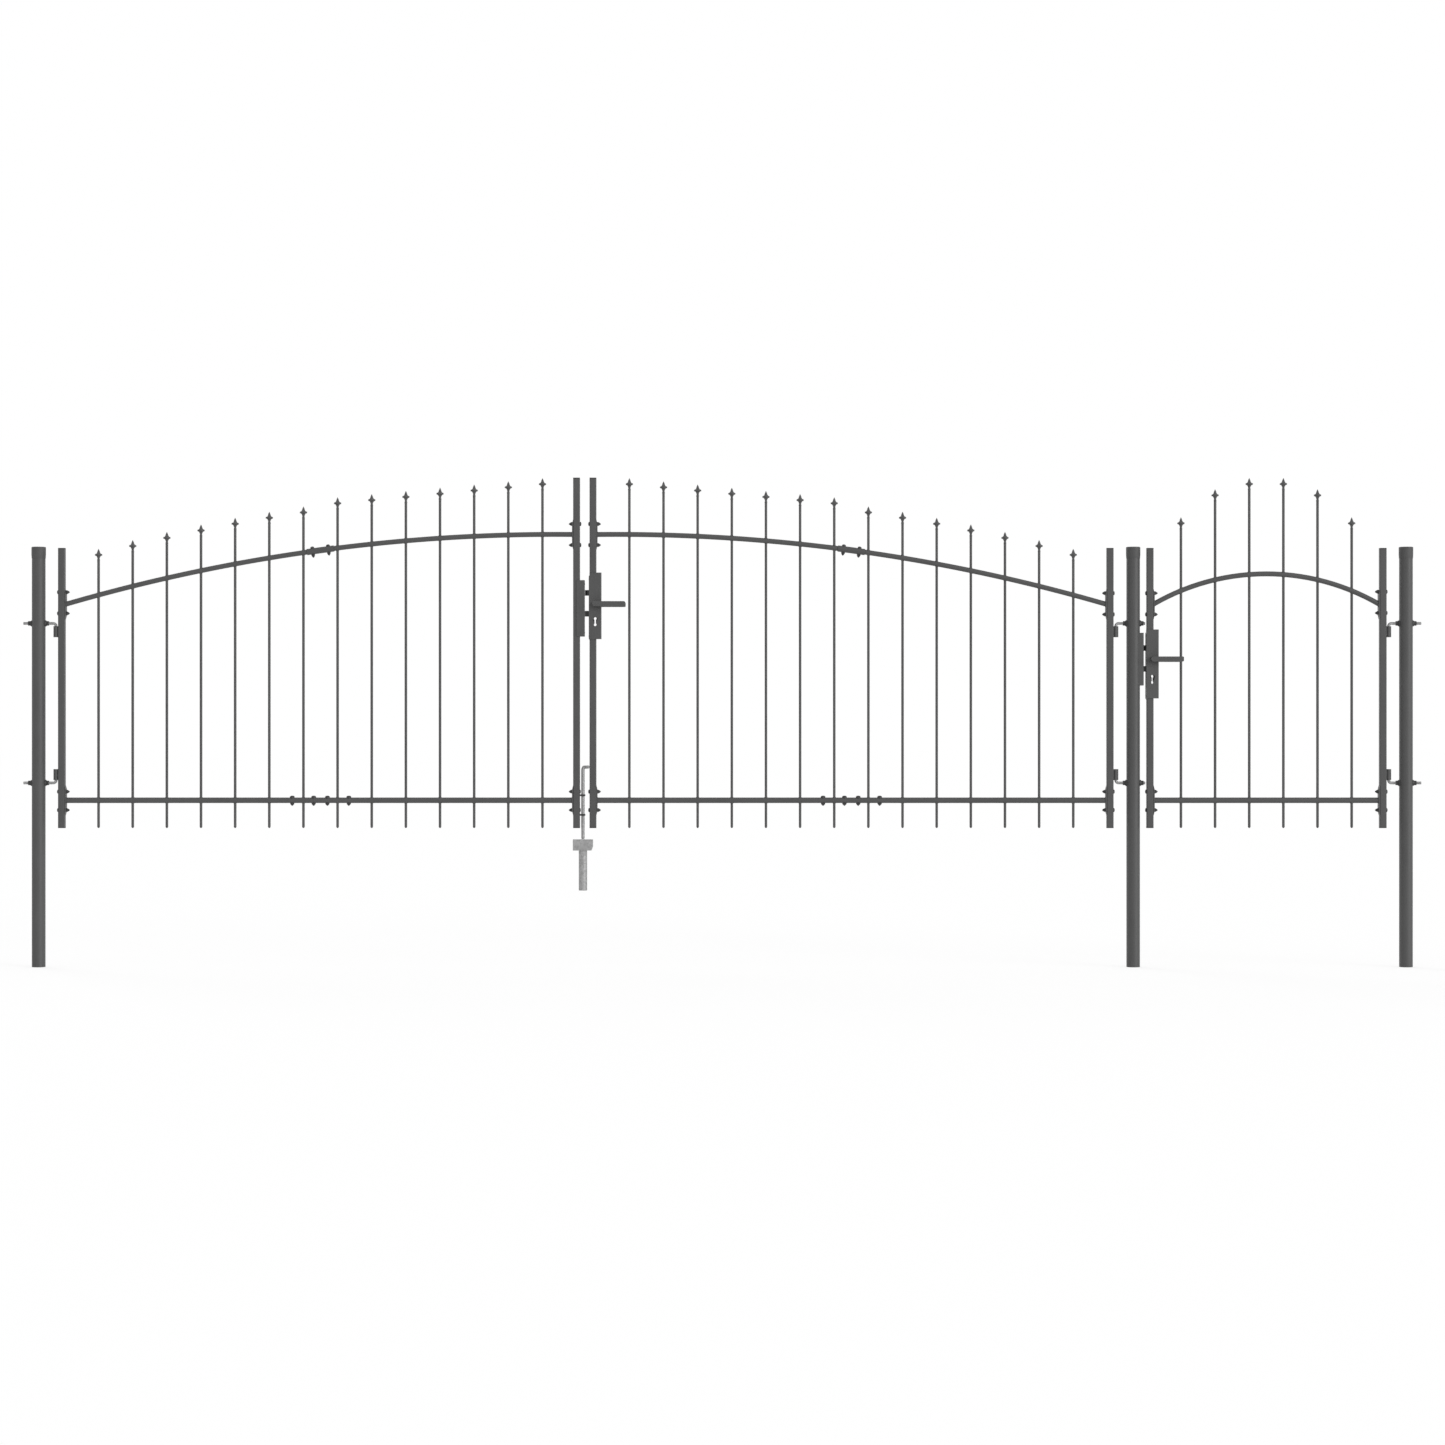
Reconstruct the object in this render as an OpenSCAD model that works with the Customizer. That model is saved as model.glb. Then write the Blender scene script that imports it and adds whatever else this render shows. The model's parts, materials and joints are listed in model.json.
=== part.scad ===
// Double driveway gate with a matching side gate, in powder-coated tubular steel.
// Origin: centre of the middle post's foot. +X along the gate, +Y away from the viewer, +Z up.

/* [Posts] */
// Outside diameter of the round posts
post_d = 48; // [40:1:60]
// Wall of the post tube, and of the plate that closes its foot
post_wall = 2; // [1.5:0.25:4]
// Height of a post from its foot to the top of its cap
post_height = 1500; // [1450:10:1700]
// Outside diameter of a post cap
cap_d = 51; // [50:0.5:64]
// Height of a post cap
cap_height = 41; // [30:1:50]
// Height of the cap's straight upper part
cap_straight = 28; // [18:1:28]
// Chamfer at the cap's upper edge
cap_edge = 2; // [1:0.5:3]
// Thickness of the cap's top
cap_top = 3; // [2:0.5:6]
// Radial clearance between a cap and its post
cap_clear = 0.25; // [0.1:0.05:0.4]

/* [Leaves] */
// Width of the square tube of the upright stiles
stile = 24; // [20:1:26]
// Wall of the stile tube
stile_wall = 1.5; // [1:0.25:3]
// Radius of the stile tube's outer corners
stile_corner = 3; // [2:0.5:4]
// Height of the stiles' lower ends over the posts' feet
leaf_bottom = 496; // [440:2:560]
// Height of the hinge stiles and of the side gate's stiles
short_stile = 1000; // [960:5:1040]
// Height of the two meeting stiles of the driveway gate
tall_stile = 1251; // [1200:5:1300]
// Gap between the centres of the two meeting stiles
meeting_gap = 58.5; // [56:0.5:66]
// Distance from the middle post's centre to the side gate's lock stile
lock_stile_x = 59.7; // [58:0.1:66]
// Thickness of the rim of a stile's end plug
plug_rim = 4; // [2:0.5:6]
// Depth of an end plug inside the tube
plug_depth = 14; // [8:1:24]
// Clearance of an end plug inside the tube, each side
plug_clear = 0.2; // [0.1:0.05:0.4]

/* [Infill] */
// Spacing of the pickets
pitch = 122; // [110:1:130]
// Thickness of a picket
picket_d = 9; // [6:0.5:12]
// Pickets in each half of a driveway leaf
half_pickets = 7; // [5:1:8]
// Pickets in the side gate
side_pickets = 6; // [4:2:8]
// Hinge stile's centre to the first picket
hinge_margin = 131; // [118:1:140]
// Last picket to the meeting stile's centre, left leaf
left_margin = 122; // [112:1:140]
// Last picket to the meeting stile's centre, right leaf
right_margin = 130; // [118:1:140]
// Outer pickets of the side gate to the stiles' centres
side_margin = 111; // [100:1:125]
// Diameter of the arched top rails
arch_d = 18; // [14:0.5:20]
// Diameter of the bottom rails
rail_d = 20; // [16:0.5:22]
// Height of the bottom rails' centre over the leaf's lower end
rail_up = 99; // [80:1:130]
// Drop of the arches' ends below the short stiles' tops
spring_drop = 201; // [180:1:240]
// Drop of the driveway arch's crown below the meeting stiles' tops
crown_drop = 202; // [190:1:250]
// Distance from the hinge stile's centre to the driveway arch's crown
crown_run = 1764; // [1700:2:1790]
// Drop of the side gate arch's crown below its stiles' tops
side_crown_drop = 92; // [70:1:120]
// Height of the end plates that hold the rails to the stiles
plate_height = 107; // [90:1:120]
// Thickness of the end plates
plate_t = 4; // [2.5:0.5:6]
// Length of the end plates' tapered ends
plate_taper = 16; // [8:1:24]
// Length of the sleeve that joins the two halves of an arch
sleeve_length = 96; // [70:1:104]
// Wall of that sleeve
sleeve_wall = 2; // [1.5:0.25:4]
// Radial clearance of the sleeve round the rail
sleeve_clear = 0.2; // [0.1:0.05:0.4]

/* [Spear tips] */
// Height of the outer spear tips over the arch
tip_over_arch = 165.5; // [130:0.5:190]
// Drop of the spear tip next to the meeting stile below that stile's top
tip_top_drop = 0.5; // [0:0.5:40]
// Drop of the spear tips from picket to picket in the inner half
tip_drop = 11.4; // [8:0.2:14]
// Radius of the arc on which the side gate's spear tips lie
tip_arc = 393; // [380:1:460]
// Height of the side gate's middle spear tips over its stiles' tops
side_tip_over = 251; // [220:1:280]
// Height of a spear tip
spear_height = 44; // [38:1:56]
// Diameter of a spear tip's collar
spear_collar_d = 26; // [20:1:32]
// Height of the weld bead round a picket under its spear tip
spear_weld = 0.5; // [0.3:0.1:1]

/* [Hinges] */
// Diameter of the hinge hooks
hook_d = 10; // [8:0.5:11]
// Radius of the hooks' bend, at the centre line
hook_bend = 10; // [9:0.5:14]
// Drop of the upper hooks below the posts' tops
upper_hook_drop = 273; // [260:1:310]
// Height of the lower hooks over the leaf's lower end
lower_hook_up = 161; // [155:1:200]
// Outside diameter of the hinge barrels
barrel_d = 18; // [16:0.5:20]
// Length of the hinge barrels
barrel_length = 39; // [30:1:46]
// Radial clearance of a hook's pin in its barrel
pin_clear = 0.1; // [0.05:0.05:0.2]
// Gap between a hook's bend and the end of its barrel
seat_gap = 0.3; // [0.2:0.1:0.5]
// Distance from a pin's end to the far end of its barrel
pin_short = 2; // [0:0.5:6]
// Distance from the post's centre to the hinge stile's centre
post_to_stile = 83; // [80:0.5:90]
// Reach of a hook's threaded end past the centre of an outer post
tail_outer = 54; // [48:0.2:60]
// Reach of a hook's threaded end past the centre of the middle post
tail_middle = 42.5; // [40:0.5:44]
// Width of a hinge nut across its flats
nut_flats = 16; // [15:1:19]
// Thickness of a hinge nut
nut_t = 8; // [6:0.5:9]
// Diameter of the saddle washer at the post's side
saddle_d = 24; // [20:0.5:26]
// Width of the saddle's flat rim beside the nut's corners
saddle_rim = 0.5; // [0.25:0.25:2]
// Thickness of the saddle washer at the post's side
saddle_t = 4.5; // [3:0.5:6]
// Radial clearance of a hook in the post, in its nuts and saddles
hook_clear = 0.2; // [0.1:0.05:0.4]

/* [Locks] */
// Height of the driveway lock's case
lock_height = 237; // [220:1:260]
// Driveway lever's axis to the top of its lock case
lock_over = 112; // [90:1:115]
// Height of the side gate lock's case
side_lock_height = 246; // [220:1:260]
// Side lever's axis to the top of its lock case
side_lock_over = 106; // [90:1:115]
// Radius of the lock cases' upright edges
lock_corner = 2.5; // [1:0.5:3]
// Wall of the lock cases
lock_wall = 3; // [2:0.5:4]
// Thickness of the forend plate at the closing edge
forend_t = 2.5; // [2:0.5:5]
// Distance from the case's top to the forend plate's top
forend_drop = 9; // [0:1:20]
// Reach of the forend plate below the case
forend_under = 4; // [0:1:20]
// Distance from the stile's centre to the back of the lock case
lock_back = 30; // [26:0.5:36]
// Reach of each length of a lock stile into the lock's case
stile_seat = 30; // [20:1:36]
// Height of the driveway lock's lever over the leaf's lower end
lever_up = 800; // [780:1:820]
// Height of the side gate lock's lever over the leaf's lower end
side_lever_up = 603; // [580:1:630]
// Distance from the stile's centre to the lever's axis
lever_x = 8; // [6:0.5:12]
// Diameter of the lever's spindle
spindle_d = 10; // [8:0.5:12]
// Radial clearance of the spindle in the case
spindle_clear = 0.4; // [0.2:0.1:0.8]
// Height of the lever's grip
lever_height = 18; // [14:1:22]
// Thickness of the lever's grip
lever_t = 11; // [8:1:16]
// Radius of the corners at the lever's tip
lever_corner = 4; // [2:0.5:7]
// Reach of the lever from its axis to its tip
lever_reach = 107.5; // [90:0.5:118]
// Gap between the lock case and the lever's grip
lever_gap = 18; // [14:1:30]
// Gap between the lock case and the lever's neck
neck_gap = 1; // [0.5:0.25:3]
// Diameter of the lever's neck outside the case
neck_d = 17; // [14:1:18]
// Driveway lever's axis to the centre of the keyhole's round part
key_drop = 55; // [54:1:72]
// Side lever's axis to the centre of the keyhole's round part
side_key_drop = 64; // [54:1:72]
// Diameter of the keyhole's round part
key_d = 17; // [15:0.5:18]
// Width of the keyhole's slot
key_slot = 10; // [8:0.5:11]
// Height of the keyhole
key_height = 33; // [30:1:36]
// Distance from the stile's centre to the keyhole
key_x = 8; // [6:0.5:12]
// Height of the latch and of the dead bolt
bolt_height = 20; // [16:1:24]
// Thickness of the latch and of the dead bolt
bolt_t = 12; // [8:1:14]
// Latch above the lever's axis
latch_up = 40; // [34:0.5:44]
// Dead bolt below the lever's axis
deadbolt_down = 34.5; // [32:0.5:36]
// Thickness of the latch's nose at its tip
latch_flat = 3; // [2:0.5:6]
// Clearance of the bolts in their slots
bolt_clear = 0.3; // [0.2:0.05:0.6]
// Gap between the bolts' tips and the keeper at rest
keeper_gap = 1; // [0.8:0.1:2]
// Inner end of the bolts, from the stile's centre
bolt_tail = 2; // [0:0.5:4]

/* [Keepers] */
// Wall of the keepers
keeper_wall = 2.5; // [2:0.25:4]
// Height of the driveway keeper
keeper_height = 201; // [180:1:220]
// Lever's height to the driveway keeper's top
keeper_over = 85; // [75:1:95]
// Left meeting stile's centre to the driveway keeper's face
keeper_face = 29; // [26:0.5:31]
// Height of the side gate's keeper
side_keeper_height = 188; // [170:1:210]
// Side lever's height to the top of the side gate's keeper
side_keeper_over = 94; // [80:1:100]
// Middle post's centre to the face of the side gate's keeper
side_keeper_face = 35.5; // [34:0.5:37]
// Depth of the side gate's keeper, front to back
side_keeper_depth = 35; // [30:1:40]
// Extra room round the bolts in the keepers' slots
slot_room = 1.5; // [1:0.25:3]

/* [Drop bolt] */
// Distance from the left meeting stile's centre to the drop bolt
drop_x = 22.7; // [20:0.1:25]
// Diameter of the drop bolt
drop_d = 12; // [10:0.5:13]
// Chamfer at the drop bolt's tip
drop_point = 2; // [1:0.5:5]
// Height of the drop bolt's arm over the leaf's lower end
arm_up = 217; // [205:1:260]
// Sideways reach of the arm
arm_side = 16; // [6:0.5:16]
// Backward reach of the arm
arm_back = 52; // [40:1:70]
// Radius of the arm's bend, at the centre line
arm_bend = 12; // [9:1:20]
// Height of the upper guide over the leaf's lower end
upper_guide_up = 117; // [105:1:125]
// Height of the lower guide over the leaf's lower end
lower_guide_up = 47; // [30:1:60]
// Thickness of the guides
guide_t = 6; // [3:0.5:8]
// Width of the guides, front to back
guide_depth = 22; // [20:1:26]
// Width of a guide's rim beside the drop bolt
guide_rim = 2; // [1:0.5:6]
// Radial clearance of the drop bolt in its guides
guide_clear = 0.3; // [0.2:0.05:0.5]
// Gap between the drop bolt's tip and the ground socket at rest
socket_gap = 2; // [2:0.5:6]
// Height of the ground socket's top over the posts' feet
socket_top = 455; // [430:1:470]
// Width of the ground socket's head
socket_width = 71; // [60:1:80]
// Height of the ground socket's head
socket_head = 39; // [30:1:45]
// Depth of the ground socket's head, front to back
socket_depth = 34; // [32:1:50]
// Height of the chamfer at the lower corner of the ground socket's head
socket_chamfer = 13; // [6:1:20]
// Width of that chamfer
socket_chamfer_width = 5; // [3:0.5:14]
// Outside diameter of the ground socket's tube
socket_d = 30; // [24:1:32]
// Length of the ground socket's tube
socket_tube = 143; // [120:1:160]
// Wall of the ground socket's tube
socket_wall = 2.5; // [1.5:0.5:5]
// Radial clearance of the drop bolt in the ground socket
socket_clear = 3.5; // [1:0.25:5]

/* [Hidden] */
$fn = 64;
coat = "#57585a";
dark = "#26272a";
zinc = "#a3a5a8";
// Overrun of the shapes that cut
over = 1;
// Straight steps in a rounded corner, and sides of a picket
corner_steps = 4;
picket_sides = 8;
post_r = post_d / 2;
half = stile / 2;
bore = stile - 2 * stile_wall;
bore_corner = max(stile_corner - stile_wall, stile_wall / 3);
post_top = post_height - cap_top;
leaf_run = hinge_margin + (2 * half_pickets - 1) * pitch;
left_w = leaf_run + left_margin;
right_w = leaf_run + right_margin;
side_w = (side_pickets - 1) * pitch + 2 * side_margin;
right_hinge_x = -post_to_stile;
right_meeting_x = right_hinge_x - right_w;
left_meeting_x = right_meeting_x - meeting_gap;
left_hinge_x = left_meeting_x - left_w;
left_post_x = left_hinge_x - post_to_stile;
side_hinge_x = lock_stile_x + side_w;
right_post_x = side_hinge_x + post_to_stile;
splice_x = (picket_x(half_pickets - 1) + picket_x(half_pickets)) / 2;
// The hinge axis lies a barrel's radius off the stile's outer face.
axis_x = post_to_stile - half - barrel_d / 2;
nut_corners = nut_flats / cos(30);
rail_z = leaf_bottom + rail_up;
short_top = leaf_bottom + short_stile;
tall_top = leaf_bottom + tall_stile;
spring_z = short_top - spring_drop;
crown_z = tall_top - crown_drop;
side_crown_z = short_top - side_crown_drop;
function radius_of(run, rise) = (run * run + rise * rise) / (2 * rise);
arch_r = radius_of(crown_run - half, crown_z - spring_z);
side_r = radius_of(side_w / 2 - half, side_crown_z - spring_z);
function arch_z(x) = crown_z - arch_r + sqrt(arch_r * arch_r - pow(x - crown_run, 2));
function picket_x(i) = hinge_margin + i * pitch;
function tip_z(i) = i < half_pickets
    ? arch_z(picket_x(i)) + tip_over_arch
    : tall_top - tip_top_drop - (2 * half_pickets - 1 - i) * tip_drop;
function side_picket_x(i) = side_margin + i * pitch;
function arc_drop(d) = tip_arc - sqrt(tip_arc * tip_arc - d * d);
function side_tip_z(i) =
    short_top + side_tip_over + arc_drop(pitch / 2) - arc_drop(side_picket_x(i) - side_w / 2);
upper_hook_z = post_height - upper_hook_drop;
lower_hook_z = leaf_bottom + lower_hook_up;
lock_z = leaf_bottom + lever_up;
side_lock_z = leaf_bottom + side_lever_up;
lock_half = half + lock_wall;
lock_top = lock_z + lock_over;
side_lock_top = side_lock_z + side_lock_over;
socket_x = left_meeting_x + drop_x;

// A box given by its low and high corners
module box(low, high) {
    translate(low) cube(high - low);
}

// The outline of a rectangle with rounded corners
function rounded(low, high, r) = [
    for (corner = [0 : 3], step = [0 : corner_steps])
        let (a = 90 * (corner + step / corner_steps))
        [corner == 0 || corner == 3 ? high.x - r : low.x + r, corner < 2 ? high.y - r : low.y + r]
            + r * [cos(a), sin(a)]
];

// A square bar with rounded upright edges, from z0 to z1
module square_bar(size, corner, z0, z1) {
    translate([0, 0, z0]) linear_extrude(height = z1 - z0)
        polygon(rounded([-size / 2, -size / 2], [size / 2, size / 2], corner));
}

// A round bar along X, from x0 to x1
module bar_x(d, x0, x1) {
    translate([x0, 0, 0]) rotate([0, 90, 0]) cylinder(d = d, h = x1 - x0);
}

// Places a driveway leaf, drawn from its hinge stile at x = 0 towards +X
module left_leaf() {
    translate([left_hinge_x, 0, 0]) children();
}

module right_leaf() {
    translate([right_hinge_x, 0, 0]) mirror([1, 0, 0]) children();
}

// Places the side gate, drawn from its lock stile at x = 0 towards its hinge stile
module side_leaf() {
    translate([lock_stile_x, 0, 0]) children();
}

// Posts

module post(x) {
    color(coat) difference() {
        translate([x, 0, 0]) cylinder(d = post_d, h = post_top);
        translate([x, 0, post_wall]) cylinder(d = post_d - 2 * post_wall, h = post_top);
        for (z = [lower_hook_z, upper_hook_z])
            translate([x, 0, z]) bar_x(hook_d + 2 * hook_clear, -post_d, post_d);
    }
}

module left_post() post(left_post_x);
module middle_post() post(0);
module right_post() post(right_post_x);

// A cap that slips over the post, with a skirt that tapers in at its lower edge
module post_cap() {
    inner = post_r + cap_clear;
    outer = cap_d / 2;
    low = post_height - cap_height;
    color(coat) rotate_extrude() polygon([
        [0, post_top], [inner, post_top], [inner, low], [inner + (outer - inner) / 3, low],
        [outer, post_height - cap_straight],
        [outer, post_height - cap_edge], [outer - cap_edge, post_height], [0, post_height]
    ]);
}

module post_caps() {
    for (x = [left_post_x, 0, right_post_x]) translate([x, 0, 0]) post_cap();
}

// Hinges

// A hook: a rod through the post that bends into an upright pin. The leaf lies at +X.
module hook(tail, pin_side) {
    pin = barrel_length + seat_gap - pin_short;
    bar_x(hook_d, -tail, axis_x - hook_bend);
    translate([axis_x - hook_bend, 0, pin_side * hook_bend])
        rotate([90, 0, 0]) rotate([0, 0, pin_side > 0 ? -90 : 0])
            rotate_extrude(angle = 90) translate([hook_bend, 0]) circle(d = hook_d);
    translate([axis_x, 0, pin_side > 0 ? hook_bend : -hook_bend - pin])
        cylinder(d = hook_d, h = pin);
}

// The upper pin points down and the lower pin points up, so the leaf can't be lifted off.
module hook_pair(tail) {
    color(zinc) {
        translate([0, 0, upper_hook_z]) hook(tail, -1);
        translate([0, 0, lower_hook_z]) hook(tail, 1);
    }
}

module left_hinge_hooks() translate([left_post_x, 0, 0]) hook_pair(tail_outer);
module middle_hinge_hooks() mirror([1, 0, 0]) hook_pair(tail_middle);
module right_hinge_hooks() translate([right_post_x, 0, 0]) mirror([1, 0, 0]) hook_pair(tail_outer);

// A hexagon nut on a round washer that is hollowed to sit on the post
module hinge_nut() {
    difference() {
        union() {
            bar_x(saddle_d, post_r - saddle_t, post_r);
            translate([post_r, 0, 0]) rotate([0, 90, 0])
                cylinder(d1 = saddle_d, d2 = nut_corners + 2 * saddle_rim, h = saddle_t);
            translate([post_r + saddle_t, 0, 0]) rotate([0, 90, 0]) rotate([0, 0, 30])
                cylinder(d = nut_corners, h = nut_t, $fn = 6);
        }
        cylinder(d = post_d, h = 2 * saddle_d, center = true);
        bar_x(hook_d + 2 * hook_clear, 0, post_d + nut_t);
    }
}

module hinge_nuts() {
    color(dark)
        for (x = [left_post_x, 0, right_post_x], z = [lower_hook_z, upper_hook_z], turn = [0, 180])
            translate([x, 0, z]) rotate([0, 0, turn]) hinge_nut();
}

// Stiles

// A length of square tube, from z0 to z1
module stile_length(x, z0, z1) {
    translate([x, 0, 0]) difference() {
        square_bar(stile, stile_corner, z0, z1);
        square_bar(bore, bore_corner, z0 - over, z1 + over);
    }
}

// A stile with room for an end plug's rim at each end
module stile_tube(x, height) {
    stile_length(x, leaf_bottom + plug_rim, leaf_bottom + height - plug_rim);
}

// A stile in two lengths that end inside a lock's case, which reaches from low to top
module lock_stile(x, height, low, top) {
    stile_length(x, leaf_bottom + plug_rim, low + stile_seat);
    stile_length(x, top - stile_seat, leaf_bottom + height - plug_rim);
}

// A hinge barrel with its weld to the stile at +X; the axis is at x = 0
module barrel(low) {
    translate([0, 0, low]) difference() {
        union() {
            cylinder(d = barrel_d, h = barrel_length);
            translate([barrel_d / 4, -barrel_d / 4, 0])
                cube([barrel_d / 4, barrel_d / 2, barrel_length]);
        }
        translate([0, 0, -over])
            cylinder(d = hook_d + 2 * pin_clear, h = barrel_length + 2 * over);
    }
}

// A hinge stile at x = 0 with the barrels on its outer face, at -X
module hinge_stile() {
    color(coat) {
        stile_tube(0, short_stile);
        translate([axis_x - post_to_stile, 0, 0]) {
            barrel(upper_hook_z - hook_bend - seat_gap - barrel_length);
            barrel(lower_hook_z + hook_bend + seat_gap);
        }
    }
}

// Openings for the latch and the dead bolt, from x0 to x1
module bolt_slots(x0, x1, z, room) {
    for (up = [latch_up, -deadbolt_down])
        box([x0, -bolt_t / 2 - room, z + up - bolt_height / 2 - room],
            [x1, bolt_t / 2 + room, z + up + bolt_height / 2 + room]);
}

module left_hinge_stile() left_leaf() hinge_stile();
module right_hinge_stile() right_leaf() hinge_stile();
module side_hinge_stile() translate([side_hinge_x, 0, 0]) mirror([1, 0, 0]) hinge_stile();

module left_meeting_stile() {
    color(coat) stile_tube(left_meeting_x, tall_stile);
}

module right_meeting_stile() {
    color(coat) lock_stile(right_meeting_x, tall_stile, lock_top - lock_height, lock_top);
}

module side_lock_stile() {
    color(coat) lock_stile(lock_stile_x, short_stile, side_lock_top - side_lock_height, side_lock_top);
}

// A plug in each end of a stile
module end_plugs(x, height) {
    stem = bore - 2 * plug_clear;
    color(dark) for (top = [0, 1])
        translate([x, 0, leaf_bottom + top * height]) mirror([0, 0, top]) {
            square_bar(stile, stile_corner, 0, plug_rim);
            square_bar(stem, bore_corner, plug_rim, plug_rim + plug_depth);
        }
}

module left_end_plugs() {
    end_plugs(left_hinge_x, short_stile);
    end_plugs(left_meeting_x, tall_stile);
}

module right_end_plugs() {
    end_plugs(right_hinge_x, short_stile);
    end_plugs(right_meeting_x, tall_stile);
}

module side_end_plugs() {
    end_plugs(lock_stile_x, short_stile);
    end_plugs(side_hinge_x, short_stile);
}

// Infill panels

// A turned spear tip with a sharp collar, its point at z = 0
module spear() {
    neck = picket_d * 0.43;
    point = picket_d * 0.57;
    rim = spear_collar_d / 2;
    h = spear_height;
    rotate_extrude() polygon([
        [0, 0], [point * 0.8, -h * 0.2], [point, -h * 0.3], [rim * 0.6, -h * 0.4],
        [rim * 0.95, -h * 0.44], [rim, -h * 0.47], [rim, -h * 0.53], [rim * 0.95, -h * 0.56],
        [rim * 0.6, -h * 0.6], [point, -h * 0.7], [neck, -h * 0.82],
        [picket_d / 2 + spear_weld, -h * 0.9], [picket_d / 2 + spear_weld, -h], [0, -h]
    ]);
}

// A picket with a blunt foot at the leaf's lower end and a spear tip at z = tip
module picket(x, tip) {
    foot = picket_d / 3;
    core = picket_d * 0.45;
    translate([x, 0, 0]) {
        translate([0, 0, leaf_bottom]) rotate_extrude() polygon([
            [0, 0], [picket_d / 4, 0], [core, foot], [core, 2 * foot], [0, 2 * foot]
        ]);
        translate([0, 0, leaf_bottom + foot]) rotate([0, 0, 180 / picket_sides])
            cylinder(d = picket_d / cos(180 / picket_sides),
                h = tip - spear_height * 0.95 - leaf_bottom - foot, $fn = picket_sides);
        translate([0, 0, tip]) spear();
    }
}

// Part of a round arch about (centre_x, crown), between two places along X
module arch(d, r, centre_x, crown, x0, x1) {
    start = acos((x1 - centre_x) / r);
    translate([centre_x, 0, crown - r]) rotate([90, 0, 0]) rotate([0, 0, start])
        rotate_extrude(angle = acos((x0 - centre_x) / r) - start, $fn = 360)
            translate([r, 0]) circle(d = d, $fn = 48);
}

// A plate with tapered ends on a stile's face at x = 0; the rail lies at +X
module end_plate(z) {
    h = plate_height / 2;
    translate([0, 0, z]) rotate([90, 0, 0])
        linear_extrude(height = stile, center = true) polygon([
            [0, -h], [plate_t, plate_taper - h], [plate_t, h - plate_taper], [0, h]
        ]);
}

// Rails and pickets of a driveway leaf between x0 and x1, drawn from the hinge stile
module panel_bars(x0, x1, first) {
    arch(arch_d, arch_r, crown_run, crown_z, x0, x1);
    translate([0, 0, rail_z]) bar_x(rail_d, x0, x1);
    for (i = [first : first + half_pickets - 1]) picket(picket_x(i), tip_z(i));
}

module outer_panel() {
    color(coat) difference() {
        union() {
            panel_bars(half, splice_x, 0);
            translate([half, 0, 0]) {
                end_plate(spring_z);
                end_plate(rail_z);
            }
        }
        box([half - stile, -half, leaf_bottom], [half, half, crown_z]);
    }
}

module inner_panel(width) {
    face = width - half;
    color(coat) difference() {
        union() {
            panel_bars(splice_x, face, half_pickets);
            translate([face, 0, 0]) mirror([1, 0, 0]) {
                end_plate(arch_z(face));
                end_plate(rail_z);
            }
        }
        box([face, -half, leaf_bottom], [face + stile, half, tall_top]);
    }
}

module left_outer_panel() left_leaf() outer_panel();
module left_inner_panel() left_leaf() inner_panel(left_w);
module right_outer_panel() right_leaf() outer_panel();
module right_inner_panel() right_leaf() inner_panel(right_w);

// The sleeve over the joint of an arch's two halves
module arch_sleeve() {
    inner = arch_d + 2 * sleeve_clear;
    color(coat) difference() {
        arch(inner + 2 * sleeve_wall, arch_r, crown_run, crown_z,
            splice_x - sleeve_length / 2, splice_x + sleeve_length / 2);
        arch(inner, arch_r, crown_run, crown_z, splice_x - sleeve_length, splice_x + sleeve_length);
    }
}

module left_arch_sleeve() left_leaf() arch_sleeve();
module right_arch_sleeve() right_leaf() arch_sleeve();

module side_panel() {
    face = side_w - half;
    color(coat) side_leaf() difference() {
        union() {
            arch(arch_d, side_r, side_w / 2, side_crown_z, half, face);
            translate([0, 0, rail_z]) bar_x(rail_d, half, face);
            for (i = [0 : side_pickets - 1]) picket(side_picket_x(i), side_tip_z(i));
            for (side = [0, 1]) translate([side * side_w, 0, 0]) mirror([side, 0, 0])
                translate([half, 0, 0]) {
                    end_plate(spring_z);
                    end_plate(rail_z);
                }
        }
        box([-half, -half, leaf_bottom], [half, half, crown_z]);
        box([face, -half, leaf_bottom], [face + stile, half, crown_z]);
    }
}

// Locks

// The keyhole's outline: a round part over a slot with a round end
module key_profile() {
    circle(d = key_d);
    translate([-key_slot / 2, key_d / 2 - key_height + key_slot / 2])
        square([key_slot, key_height - key_d / 2 - key_slot / 2]);
    translate([0, key_d / 2 - key_height + key_slot / 2]) circle(d = key_slot);
}

// The plate at a lock's closing edge, with bevelled ends; its back is at x
module forend(x, low, top) {
    translate([x, 0, 0]) rotate([90, 0, 0])
        linear_extrude(height = 2 * lock_half, center = true) polygon([
            [0, low], [lock_corner, low], [lock_corner, top], [0, top],
            [-forend_t, top - 2 * forend_t], [-forend_t, low + 2 * forend_t]
        ]);
}

// A folded case round a stile's two ends at x, with its forend at the closing edge, at -X
module lock_case(x, z, top, low, key_down) {
    color(coat) difference() {
        union() {
            translate([0, 0, low]) linear_extrude(height = top - low)
                polygon(rounded([x - half, -lock_half], [x + lock_back, lock_half], lock_corner));
            forend(x - half, low - forend_under, top - forend_drop);
        }
        box([x - half, -half, low - forend_under - over], [x + half, half, top + over]);
        box([x - half, -half, low + lock_wall], [x + lock_back - lock_wall, half, top - lock_wall]);
        bolt_slots(x - stile, x, z, bolt_clear);
        translate([x + lever_x, 0, z]) rotate([90, 0, 0])
            cylinder(d = spindle_d + 2 * spindle_clear, h = 4 * lock_half, center = true);
        translate([x + key_x, 0, z - key_down]) rotate([90, 0, 0])
            linear_extrude(height = 4 * lock_half, center = true) key_profile();
    }
}

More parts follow.
